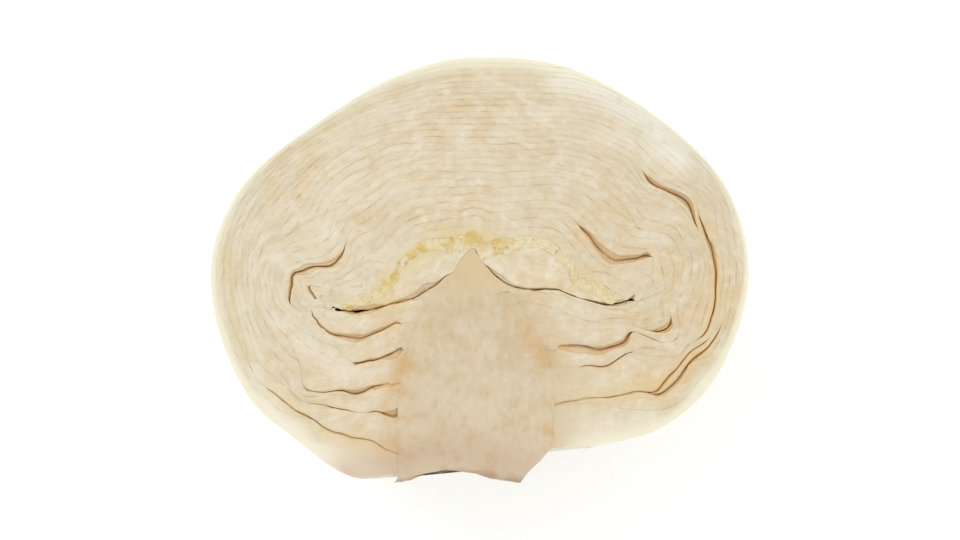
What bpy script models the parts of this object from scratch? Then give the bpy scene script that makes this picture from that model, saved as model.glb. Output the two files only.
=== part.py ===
"""Half a cabbage head, cut down through its core and lying on its rounded back.

Metres. +Z comes out of the cut face and +Y is the way the head grew. The origin is the
middle of the small flat on the back that the half rests on.

The head is a core and a stack of leaves. Every leaf lies on the ones inside it. A point of
the stack is (s, u, phi): s runs out through the stack from 0 at the heart to 1 at the skin,
u runs along a leaf from 0 at the core to 1 at the crown, and phi runs round the growth axis
from 0 at +X, through the back, to 180 degrees at -X.
"""
import math

import bpy
import numpy as np

MM = 0.001

# Sizes, in millimetres
HEAD_WIDTH = 190.5
HEAD_HEIGHT = 150.0       # crown to the underside of the stump
HEAD_DEPTH = 94.5         # cut face to the back, before the rest flat
REST_FLAT = 3.6           # depth the rest flat takes off the back
CORE_RADIUS = 27.0
CORE_GAP = 0.8            # clear of the leaf bases
STUMP_RADIUS = 21.0
STUMP_HOLLOW = 2.5        # how far the underside of the stump curves in
LEAF_GAP = 0.45           # between one leaf and the next, through the stack
LEAF_EDGE = 0.35          # thickness at a leaf's margin
HEART_FOLD = 1.0          # keeps the folded innermost leaves apart
WRAPPER_LAMINA = 2.6      # thickness of the four loose outer leaves
WRAPPER_BASE = 9.0        # extra thickness where a wrapper joins the core

LEAVES = 26
WRAPPERS = 4              # the outermost leaves
LEAF_TURN = 137.5         # degrees from one leaf's midrib to the next
FIRST_TURN = -40.0

# Thickness against the usual 1, by leaf number: at the base, and where the base swells
BASE_BULK = {1: 0.5, 5: 1.52, 8: 1.18, 9: 3.2, 12: 3.2, 13: 0.64, 14: 0.4, 16: 0.4, 17: 2.34,
             18: 2.98, 21: 0.91, 22: 0.35, 25: 0.86, 26: 0.31}
BELLY_BULK = {4: 1.53, 5: 2.03, 8: 2.5, 9: 1.2, 12: 0.67, 13: 3.2, 17: 1.46, 18: 0.9,
              21: 1.44, 22: 3.2, 25: 1.78, 26: 2.61}
WIDE_BASES = {18: 0.05}   # leaves that clasp the core further round than most

# Outlines of the cut half at the heart, half way out and at the skin, from core to crown:
# distance out past the core's grip, in half widths, and height, in head heights
OUTLINES = {
    "right": (
        ((-0.136, -0.053), (0.074, -0.053), (0.287, -0.060), (0.483, -0.070), (0.580, -0.050),
         (0.553, -0.028), (0.420, -0.036), (0.270, -0.029), (0.094, 0.012), (0.0, 0.063)),
        ((-0.006, -0.214), (0.238, -0.214), (0.481, -0.195), (0.678, -0.129), (0.788, -0.023),
         (0.786, 0.082), (0.696, 0.169), (0.519, 0.242), (0.262, 0.294), (0.0, 0.310)),
        ((0.0, -0.407), (0.284, -0.397), (0.560, -0.357), (0.798, -0.250), (0.949, -0.073),
         (0.978, 0.082), (0.882, 0.243), (0.627, 0.393), (0.318, 0.493), (0.0, 0.512))),
    "left": (
        ((-0.105, -0.073), (0.074, -0.084), (0.266, -0.096), (0.430, -0.088), (0.515, -0.068),
         (0.490, -0.050), (0.388, -0.070), (0.249, -0.056), (0.099, 0.006), (0.0, 0.063)),
        ((-0.013, -0.227), (0.204, -0.265), (0.418, -0.251), (0.605, -0.181), (0.721, -0.071),
         (0.737, 0.047), (0.633, 0.157), (0.437, 0.242), (0.218, 0.294), (0.0, 0.310)),
        ((0.0, -0.467), (0.263, -0.473), (0.549, -0.377), (0.756, -0.283), (0.907, -0.113),
         (0.944, 0.060), (0.829, 0.227), (0.567, 0.364), (0.283, 0.470), (0.0, 0.512))),
}

# One mesh grid for every leaf, so neighbours bend at the same places
COLUMNS = np.radians(np.arange(0.0, 181.0, 20.0))
ROWS = np.array([0.012, 0.10, 0.22, 0.33, 0.41, 0.50, 0.59, 0.68, 0.80, 0.91])


def smooth(value):
    value = np.clip(value, 0.0, 1.0)
    return value * value * (3.0 - 2.0 * value)


def turned(phi, azimuth):
    """Angle of phi from an azimuth in degrees, between minus and plus pi."""
    return (phi - math.radians(azimuth) + math.pi) % (2 * math.pi) - math.pi


# ---- the shape of the head ----

def curve(points, u):
    """Smooth curve through the points; u from 0 to 1. It crosses the growth axis level."""
    mirrored = (-points[-2][0], points[-2][1])
    p = np.array([2 * points[0] - points[1], *points, mirrored])
    step = np.clip(u, 0.0, 1.0) * (len(points) - 1)
    i = np.minimum(step.astype(int), len(points) - 2)
    f = (step - i)[..., None]
    a, b, c, d = p[i], p[i + 1], p[i + 2], p[i + 3]
    return b + 0.5 * f * (c - a + f * (2 * a - 5 * b + 4 * c - d + f * (3 * (b - c) + d - a)))


def outline(side, level):
    """One outline in millimetres, with the core's grip put back."""
    shares = OUTLINES[side][level]
    grip = (1.0 - np.linspace(0.0, 1.0, len(shares))) ** 3
    out, up = np.array(shares).T
    return np.stack([out * HEAD_WIDTH / 2 + CORE_RADIUS * grip, up * HEAD_HEIGHT], -1)


def place(s, u, phi):
    """Millimetre position of a point of the stack, with the cut face at z = 0."""
    s, u, phi = np.broadcast_arrays(*[np.asarray(v, float) for v in (s, u, phi)])
    weights = ((1 - s) * (1 - 2 * s), 4 * s * (1 - s), s * (2 * s - 1))
    lean = (1 - np.cos(phi)) / 2
    total = 0.0
    skin = 0.0
    for side, share in (("right", 1 - lean), ("left", lean)):
        levels = [curve(outline(side, level), u) for level in range(3)]
        total = total + share[..., None] * sum(w[..., None] * p for w, p in zip(weights, levels))
        skin = skin + share * levels[2][..., 0]
    deepening = HEAD_DEPTH / (0.967 * HEAD_WIDTH / 2) * np.sin(phi)
    depth = total[..., 0] * deepening
    skin_depth = np.maximum(skin * deepening, 1e-6)
    depth = depth * np.minimum(1.0, (HEAD_DEPTH - REST_FLAT) / skin_depth)
    return np.stack([total[..., 0] * np.cos(phi), total[..., 1], -depth], -1)


def stack_height(u, phi):
    """Millimetres through the whole stack."""
    return np.linalg.norm(place(1.0, u, phi) - place(0.0, u, phi), axis=-1)


# ---- the leaves ----

def heart_thickness(azimuth, u, phi):
    cover = np.minimum(np.minimum((u - 0.60) / 0.1, (0.965 - u) / 0.05),
                       (math.radians(84) - np.abs(turned(phi, azimuth))) / 0.4)
    return (0.5 + 3.2 * np.exp(-((u - 0.84) / 0.07) ** 2)) * smooth(cover / 0.8)


def bud_thickness(u, phi):
    return (0.9 + 1.3 * smooth((u - 0.8) / 0.2)) * smooth((u - 0.56) / 0.06) + 0.0 * phi


def leaf_cover(number, u, phi):
    """How far inside the leaf's outline a point is; 0 at the margin.

    A leaf is a round blade laid over the crown from its midrib's side, clasping the core.
    """
    order = number - 1
    wrapper = order >= LEAVES - WRAPPERS
    reach = 1.16 - 0.03 * (order % 3) if wrapper else 1.38 - 0.02 * (order % 5)
    width = 0.86 if wrapper else 0.97
    clasp = WIDE_BASES.get(number, 0.18 + 0.05 * (order * 7 % 5))
    turn = turned(phi, LEAF_TURN * order + FIRST_TURN)
    along = 1 - (1 - u) * np.cos(turn)
    across = (1 - u) * np.sin(turn)
    half_length = np.where(along < 0.7, 1.0, reach - 0.7)
    blade = 1 - ((along - 0.7) / half_length) ** 2 - (across / width) ** 2
    base = u - clasp * smooth((np.abs(turn) - math.radians(28)) / math.radians(25)) + 0.03
    return np.minimum(blade, base / 0.3)


def leaf_thickness(number, u, phi):
    turn = turned(phi, LEAF_TURN * (number - 1) + FIRST_TURN)
    rib = 1 + 1.2 * np.exp(-(turn / math.radians(22)) ** 2) * smooth((0.5 - u) / 0.5)
    base = 1 + (BASE_BULK.get(number, 1.0) - 1) * smooth((0.35 - u) / 0.35)
    belly = 1 + (BELLY_BULK.get(number, 1.0) - 1) * np.exp(-((u - 0.17) / 0.08) ** 2)
    return smooth(leaf_cover(number, u, phi) / 0.22) * rib * base * belly


def stack_levels(u, phi):
    """Inner and outer level of every leaf in the stack, by name, from the heart out."""
    raw = {"heart_leaf_left": heart_thickness(180.0, u, phi),
           "heart_leaf_right": heart_thickness(0.0, u, phi),
           "bud": bud_thickness(u, phi)}
    for number in range(1, LEAVES + 1):
        raw[f"leaf_{number:02d}"] = leaf_thickness(number, u, phi)
    names = list(raw)
    near_core = np.exp(-(u / 0.13) ** 2)
    height = stack_height(u, phi)
    for name in names[-WRAPPERS:]:
        raw[name] = raw[name] * (WRAPPER_LAMINA + WRAPPER_BASE * near_core) / height
    wrapped = np.maximum(sum(raw[name] for name in names[-WRAPPERS:]), WRAPPER_LAMINA / height)
    packed = sum(raw[name] for name in names[:-WRAPPERS])
    air = HEART_FOLD / height
    levels = {}
    level = air
    for order, name in enumerate(names):
        share = 1.0 if order >= len(names) - WRAPPERS else (1 - wrapped - air) / packed
        levels[name] = (level, level + raw[name] * share)
        level = levels[name][1]
    return levels


# ---- meshes ----

def grid():
    """Node u and phi, and the triangles between them, facing out. The crown is one node."""
    across = len(COLUMNS)
    u = np.append(np.repeat(ROWS, across), 1.0)
    phi = np.append(np.tile(COLUMNS, len(ROWS)), COLUMNS[-1] / 2)
    crown = len(u) - 1
    triangles = []
    for row in range(len(ROWS)):
        for column in range(across - 1):
            a = row * across + column
            if row == len(ROWS) - 1:
                triangles.append((a, a + 1, crown))
            else:
                triangles.append((a, a + 1, a + 1 + across))
                triangles.append((a, a + 1 + across, a + across))
    return u, phi, triangles


def clipped(triangle, amount):
    """The part of a triangle where amount is above 0, as keys (node, other node)."""
    polygon = []
    for here, after in zip(triangle, triangle[1:] + triangle[:1]):
        if amount[here] > 0:
            polygon.append((here, here))
        if (amount[here] > 0) != (amount[after] > 0):
            polygon.append((min(here, after), max(here, after)))
    return polygon


def largest_patch(polygons):
    """Only the polygons that hang together with the most others."""
    owner = {}
    groups = []
    for polygon in polygons:
        touched = {owner[key] for key in polygon if key in owner}
        merged = [polygon]
        for index in touched:
            merged += groups[index]
            groups[index] = []
        groups.append(merged)
        for member in merged:
            for key in member:
                owner[key] = len(groups) - 1
    return max(groups, key=len)


def shell(polygons, amount, inner, outer):
    """Vertices and faces of a sheet with thickness, closed all round its margin."""
    vertices = []
    number = {}

    def vertex(key, side):
        if (key, side) not in number:
            here, other = key
            nodes = inner if side == 0 else outer
            point = nodes[here]
            if here != other:
                share = amount[here] / (amount[here] - amount[other])
                point = point + (nodes[other] - point) * min(max(share, 0.05), 0.95)
            number[(key, side)] = len(vertices)
            vertices.append(point)
        return number[(key, side)]

    faces = []
    edges = set()
    for polygon in polygons:
        for k in range(1, len(polygon) - 1):
            corners = (polygon[0], polygon[k], polygon[k + 1])
            faces.append([vertex(key, 1) for key in corners])
            faces.append([vertex(key, 0) for key in reversed(corners)])
        edges.update(zip(polygon, polygon[1:] + polygon[:1]))
    for start, end in sorted(edges):
        if (end, start) not in edges:
            faces.append([vertex(end, 1), vertex(start, 1), vertex(start, 0)])
            faces.append([vertex(end, 1), vertex(start, 0), vertex(end, 0)])
    return vertices, faces


def leaf_mesh(levels, u, phi, triangles):
    height = stack_height(u, phi)
    inner = place(levels[0] + LEAF_GAP / height, u, phi)
    outer = place(levels[1], u, phi)
    amount = (levels[1] - levels[0]) * height - LEAF_GAP - LEAF_EDGE
    polygons = [clipped(triangle, amount) for triangle in triangles]
    polygons = [polygon for polygon in polygons if polygon]
    return shell(largest_patch(polygons), amount, inner, outer)


def core_rows():
    """Rings of the core from the tip down to the rim of the stump, clear of the leaves."""
    tip = place(0.0, 1.0, 0.0) - (0, CORE_GAP * 2, 0)
    rings = [tip + 0 * place(0.0, 1.0, COLUMNS)]
    for u in (0.93, 0.86):
        rings.append(place(0.0, u, COLUMNS) - (0, CORE_GAP * 2, 0))
    for s in (0.0, 0.1, 0.25, 0.45, 0.7, 1.0):
        ring = place(s, 0.0, COLUMNS)
        inset = 1 - CORE_GAP / np.hypot(ring[:, 0], ring[:, 2])
        rings.append(ring * np.stack([inset, 1 + 0 * inset, inset], -1))
    foot = rings[-1].copy()
    scale = STUMP_RADIUS / CORE_RADIUS
    foot[:, 0] *= scale
    foot[:, 2] *= scale
    foot[:, 1] = HEAD_HEIGHT * (place(1.0, 1.0, 0.0)[1] / HEAD_HEIGHT - 1)
    rings.append(foot)
    hollow = foot * (0.5, 1, 0.5) + (0, STUMP_HOLLOW, 0)
    return rings[1:] + [hollow], tip, hollow.mean(0) * (0, 1, 0)


def core_mesh():
    rings, tip, foot = core_rows()
    across = len(COLUMNS)
    vertices = [tip, *np.concatenate(rings), foot]
    last = len(vertices) - 1
    faces = []
    for column in range(across - 1):
        faces.append([0, 1 + column, 2 + column])
        for row in range(len(rings) - 1):
            a = 1 + row * across + column
            faces.append([a, a + across, a + across + 1])
            faces.append([a, a + across + 1, a + 1])
        a = 1 + (len(rings) - 1) * across + column
        faces.append([a + 1, a, last])
    right = [1 + row * across for row in range(len(rings))]
    left = [1 + row * across + across - 1 for row in range(len(rings))]
    faces.append([0, *left, last, *right[::-1]])
    return vertices, faces


# ---- objects ----

def leaf_colour(level):
    """Yellow-white at the heart to pale green at the skin."""
    heart = np.array((0.80, 0.68, 0.34))
    middle = np.array((0.78, 0.72, 0.52))
    skin = np.array((0.60, 0.66, 0.36))
    if level < 0.5:
        return heart + (middle - heart) * level * 2
    return middle + (skin - middle) * (level * 2 - 1)


def material(name, colour, roughness=0.5):
    finish = bpy.data.materials.new(name)
    finish.use_nodes = True
    shader = finish.node_tree.nodes["Principled BSDF"]
    shader.inputs["Base Color"].default_value = (*[float(c) for c in colour], 1.0)
    shader.inputs["Roughness"].default_value = roughness
    return finish


def add_object(name, vertices, faces, finish):
    """Put the part on its rest flat: the middle of the flat is the origin."""
    rest = place(1.0, 0.5, math.pi / 2)
    points = [tuple(float(c) for c in (np.asarray(v) - (0.0, rest[1], rest[2])) * MM)
              for v in vertices]
    mesh = bpy.data.meshes.new(name)
    mesh.from_pydata(points, [], faces)
    mesh.materials.append(finish)
    mesh.update()
    part = bpy.data.objects.new(name, mesh)
    bpy.context.scene.collection.objects.link(part)
    return part


def main():
    for old in list(bpy.data.objects):
        bpy.data.objects.remove(old, do_unlink=True)
    u, phi, triangles = grid()
    levels = stack_levels(u, phi)
    for order, (name, span) in enumerate(levels.items()):
        finish = material(f"{name}_flesh", leaf_colour(order / (len(levels) - 1)))
        add_object(name, *leaf_mesh(span, u, phi, triangles), finish)
    add_object("core", *core_mesh(), material("core_pith", (0.66, 0.56, 0.36), 0.6))


main()
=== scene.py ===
import math

import bpy
import numpy as np
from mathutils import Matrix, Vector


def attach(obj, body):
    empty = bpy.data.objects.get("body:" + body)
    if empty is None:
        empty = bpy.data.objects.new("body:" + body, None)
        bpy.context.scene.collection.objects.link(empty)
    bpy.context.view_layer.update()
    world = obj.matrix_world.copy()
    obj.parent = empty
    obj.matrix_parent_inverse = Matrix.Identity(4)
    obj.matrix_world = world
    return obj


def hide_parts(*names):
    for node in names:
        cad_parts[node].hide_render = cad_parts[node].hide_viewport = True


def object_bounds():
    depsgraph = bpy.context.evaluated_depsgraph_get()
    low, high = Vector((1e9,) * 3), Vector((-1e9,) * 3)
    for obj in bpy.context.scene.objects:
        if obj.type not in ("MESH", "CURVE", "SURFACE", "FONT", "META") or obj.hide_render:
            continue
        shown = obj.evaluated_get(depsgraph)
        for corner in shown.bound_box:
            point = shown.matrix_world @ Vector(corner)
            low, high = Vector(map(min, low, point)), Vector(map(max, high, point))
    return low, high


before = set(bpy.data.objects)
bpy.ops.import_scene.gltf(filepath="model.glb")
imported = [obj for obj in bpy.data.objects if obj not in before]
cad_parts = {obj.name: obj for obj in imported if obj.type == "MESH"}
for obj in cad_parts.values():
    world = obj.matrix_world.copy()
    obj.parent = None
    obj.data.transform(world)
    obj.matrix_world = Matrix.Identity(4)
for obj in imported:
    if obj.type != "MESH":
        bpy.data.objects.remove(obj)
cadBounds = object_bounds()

print("loaded", len(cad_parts), "solids")
cadLow, cadHigh = (np.array(corner) * 1000 for corner in cadBounds)  # everything below is in mm

# Half a cabbage head lies on its back with the cut face up. A point of it is (s, u, phi):
# s runs out through the stack from 0 at the heart to 1 at the skin, u runs up a leaf from 0 at
# the core to 1 at the crown, and phi runs round the growth axis from 0 on the right, through
# the back, to pi on the left.
head = {
    "width": (cadHigh[0] - cadLow[0]) / 0.996,   # the bulges stop a little short of the full width
    "height": cadHigh[1] - cadLow[1],
    "crown": 0.512,         # the share of the height above the middle
    "widest": 0.967,        # where the skin bulges most, in half widths
    "restDepth": cadHigh[2] - cadLow[2],
    "restFlat": 3.6,        # what the rest flat takes off the back
    "coreRadius": 27.0,
    "leafTurn": 137.5,      # degrees from one midrib to the next
    "firstTurn": -40.0,
}

# outlines of the cut half at the heart, half way out and at the skin, core to crown:
# distance past the core's grip in half widths, and height in head heights
outlines = {
    "right": (
        ((-0.136, -0.053), (0.074, -0.050), (0.287, -0.053), (0.483, -0.0625), (0.573, -0.055),
         (0.557, -0.053), (0.420, -0.0575), (0.270, -0.047), (0.094, 0.010), (0.0, 0.063)),
        ((-0.006, -0.214), (0.238, -0.214), (0.481, -0.195), (0.678, -0.129), (0.788, -0.023),
         (0.786, 0.082), (0.696, 0.169), (0.519, 0.242), (0.262, 0.294), (0.0, 0.310)),
        ((0.0, -0.407), (0.284, -0.397), (0.560, -0.357), (0.798, -0.250), (0.949, -0.073),
         (0.978, 0.082), (0.882, 0.243), (0.627, 0.393), (0.318, 0.493), (0.0, 0.512))),
    "left": (
        ((-0.105, -0.073), (0.074, -0.079), (0.266, -0.091), (0.430, -0.0865), (0.510, -0.0765),
         (0.496, -0.0745), (0.388, -0.0840), (0.249, -0.080), (0.099, 0.003), (0.0, 0.063)),
        ((-0.013, -0.227), (0.204, -0.265), (0.418, -0.251), (0.605, -0.181), (0.721, -0.071),
         (0.737, 0.047), (0.633, 0.157), (0.437, 0.242), (0.218, 0.294), (0.0, 0.310)),
        ((0.0, -0.467), (0.263, -0.473), (0.549, -0.377), (0.756, -0.283), (0.907, -0.113),
         (0.944, 0.060), (0.829, 0.227), (0.567, 0.364), (0.283, 0.470), (0.0, 0.512))),
}


def smooth(value):
    value = np.clip(value, 0.0, 1.0)
    return value * value * (3.0 - 2.0 * value)


def unit(vectors):
    return vectors / (np.linalg.norm(vectors, axis=1)[:, None] + 1e-9)


def turned(phi, azimuth):
    return (phi - math.radians(azimuth) + math.pi) % (2 * math.pi) - math.pi


def wander(seed, size, *coords):
    # slow waves of about this size, the same each time for one seed
    draw = np.random.default_rng(seed)
    total = 0.0
    for _ in range(8):
        way = draw.normal(size=len(coords))
        way /= np.linalg.norm(way)
        wave = 2 * math.pi / (size * draw.uniform(0.7, 1.6))
        total = total + np.sin(sum(w * c for w, c in zip(way, coords)) * wave
                               + draw.uniform(0, 2 * math.pi))
    return total / 2.0


def curve(points, u):
    # a smooth line through the points, level where it meets its other half at the crown
    mirrored = (-points[-2][0], points[-2][1])
    p = np.array([2 * points[0] - points[1], *points, mirrored])
    step = np.clip(u, 0.0, 1.0) * (len(points) - 1)
    i = np.minimum(step.astype(int), len(points) - 2)
    f = (step - i)[..., None]
    a, b, c, d = p[i], p[i + 1], p[i + 2], p[i + 3]
    return b + 0.5 * f * (c - a + f * (2 * a - 5 * b + 4 * c - d + f * (3 * (b - c) + d - a)))


def outline(side, level):
    shares = outlines[side][level]
    grip = (1.0 - np.linspace(0.0, 1.0, len(shares))) ** 3
    out, up = np.array(shares).T
    return np.stack([out * head["width"] / 2 + head["coreRadius"] * grip,
                     up * head["height"]], -1)


outlinePoints = {side: [outline(side, level) for level in range(3)] for side in outlines}
headDepth = head["restDepth"] + head["restFlat"]
stumpBottom = (head["crown"] - 1) * head["height"]


def place(s, u, phi):
    s, u, phi = np.broadcast_arrays(*[np.asarray(v, float) for v in (s, u, phi)])
    weights = ((1 - s) * (1 - 2 * s), 4 * s * (1 - s), s * (2 * s - 1))
    lean = (1 - np.cos(phi)) / 2
    total = 0.0
    skin = 0.0
    for side, share in (("right", 1 - lean), ("left", lean)):
        levels = [curve(points, u) for points in outlinePoints[side]]
        total = total + share[..., None] * sum(w[..., None] * p for w, p in zip(weights, levels))
        skin = skin + share * levels[2][..., 0]
    deepening = headDepth / (head["widest"] * head["width"] / 2) * np.sin(phi)
    skinDepth = np.maximum(skin * deepening, 1e-6)
    depth = total[..., 0] * deepening * np.minimum(1.0, head["restDepth"] / skinDepth)
    return np.stack([total[..., 0] * np.cos(phi), total[..., 1], -depth], -1)


def stackHeight(u, phi):
    return np.linalg.norm(place(1.0, u, phi) - place(0.0, u, phi), axis=-1)


heartLeaves = {
    "azimuth": {"heart_leaf_left": 180.0, "heart_leaf_right": 0.0},
    "low": 0.60, "high": 0.965,     # where they begin and end, from core to crown
    "reach": 84.0,                  # how far round they go to each side, in degrees
    "thin": 0.5, "swell": 3.2, "swellAt": 0.84,
    "fold": 0.05,                   # mm that keep them off the core
}
bud = {"thick": 0.9, "crownExtra": 1.3, "low": 0.56, "crumple": 0.6, "crumpleSize": 3.6}
leaf = {
    "count": 26,
    "rib": 1.2, "ribReach": 22.0,   # a thicker midrib, and how far it spreads in degrees
    "uneven": 0.10,
    "ruffle": 0.035,                # a wavy margin, in leaf lengths
    "edge": 0.15,                   # mm thick at a margin
    "pressedGap": 0.006,            # mm between leaves that press on each other
    "looseGap": 0.06,               # where they have let go for a few mm
    "wave": 0.45, "ripple": 0.22,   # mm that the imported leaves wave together
    # thickness against the usual 1, by leaf number: at the base, and where the base swells
    "base": {1: 0.5, 5: 1.52, 8: 1.18, 9: 3.2, 12: 3.2, 13: 0.64, 14: 0.4, 16: 0.4, 17: 2.34,
             18: 2.98, 21: 0.91, 22: 0.35, 25: 0.86, 26: 0.31},
    "belly": {4: 1.53, 5: 2.03, 8: 2.5, 9: 1.2, 12: 0.67, 13: 3.2, 17: 1.46, 18: 0.9,
              21: 1.44, 22: 3.2, 25: 1.78, 26: 2.61},
    "clasp": {18: 0.05},            # clasps the core further round than most
}
wrapper = {"count": 4, "lamina": 2.6, "base": 9.0, "width": 0.86, "reach": 1.16}  # loose outer leaves

names = [*heartLeaves["azimuth"], "bud"]
names += [f"leaf_{number:02d}" for number in range(1, leaf["count"] + 1)]
wrapperNames = names[-wrapper["count"]:]


def heartThickness(azimuth, u, phi):
    across = math.radians(heartLeaves["reach"]) - np.abs(turned(phi, azimuth))
    cover = np.minimum(np.minimum((u - heartLeaves["low"]) / 0.1, (heartLeaves["high"] - u) / 0.05),
                       across / 0.4)
    swell = heartLeaves["swell"] * np.exp(-((u - heartLeaves["swellAt"]) / 0.07) ** 2)
    return (heartLeaves["thin"] + swell) * smooth(cover / 0.8)


def budThickness(u):
    return (bud["thick"] + bud["crownExtra"] * smooth((u - 0.8) / 0.2)) * smooth((u - bud["low"]) / 0.06)


def bladeOf(number, u, phi):
    # the leaf laid flat: along its midrib from the base, and across it, in leaf lengths
    turn = turned(phi, head["leafTurn"] * (number - 1) + head["firstTurn"])
    return 1 - (1 - u) * np.cos(turn), (1 - u) * np.sin(turn), turn


def leafCover(number, u, phi):
    # above 0 where the leaf reaches, and how far inside its margin
    order = number - 1
    outermost = order >= leaf["count"] - wrapper["count"]
    reach = wrapper["reach"] - 0.03 * (order % 3) if outermost else 1.38 - 0.02 * (order % 5)
    width = wrapper["width"] if outermost else 0.97
    clasp = leaf["clasp"].get(number, 0.18 + 0.05 * (order * 7 % 5))
    along, across, turn = bladeOf(number, u, phi)
    ruffle = leaf["ruffle"] * wander(500 + number, 0.33, along, across)
    halfLength = np.where(along < 0.7, 1.0, reach - 0.7)
    blade = 1 - ((along - 0.7) / halfLength) ** 2 - (across / width) ** 2 + ruffle
    base = u - clasp * smooth((np.abs(turn) - math.radians(28)) / math.radians(25)) + 0.03
    return np.minimum(blade, base / 0.3)


def leafThickness(number, u, phi):
    turn = turned(phi, head["leafTurn"] * (number - 1) + head["firstTurn"])
    rib = 1 + leaf["rib"] * np.exp(-(turn / math.radians(leaf["ribReach"])) ** 2) \
        * smooth((0.5 - u) / 0.5)
    base = 1 + (leaf["base"].get(number, 1.0) - 1) * smooth((0.35 - u) / 0.35)
    belly = 1 + (leaf["belly"].get(number, 1.0) - 1) * np.exp(-((u - 0.17) / 0.08) ** 2)
    uneven = leaf["uneven"] * wander(900 + number, 34.0, 210 * u, 70 * phi)
    fade = smooth((1 - u) / 0.25)   # the crown belongs to every side at once
    return smooth(leafCover(number, u, phi) / 0.22) * rib * base * belly * (1 + uneven * fade)


def stackLevels(u, phi):
    # each leaf's inner and outer level in the stack, from the heart out
    u = np.maximum(u, 0.03)         # the joints run straight on into the core
    raw = {name: heartThickness(azimuth, u, phi) for name, azimuth in heartLeaves["azimuth"].items()}
    raw["bud"] = budThickness(u)
    for number in range(1, leaf["count"] + 1):
        raw[f"leaf_{number:02d}"] = leafThickness(number, u, phi)
    nearCore = np.exp(-(u / 0.13) ** 2)
    height = stackHeight(u, phi)
    for name in wrapperNames:
        raw[name] = raw[name] * (wrapper["lamina"] + wrapper["base"] * nearCore) / height
    wrapped = np.maximum(sum(raw[name] for name in wrapperNames), wrapper["lamina"] / height)
    packed = sum(raw[name] for name in names if name not in wrapperNames)
    fold = heartLeaves["fold"] / height
    levels = {"fold": (np.zeros_like(fold), fold)}
    level = fold
    for name in names:
        share = 1.0 if name in wrapperNames else (1 - wrapped - fold) / packed
        levels[name] = (level, level + raw[name] * share)
        level = levels[name][1]
    return levels


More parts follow.
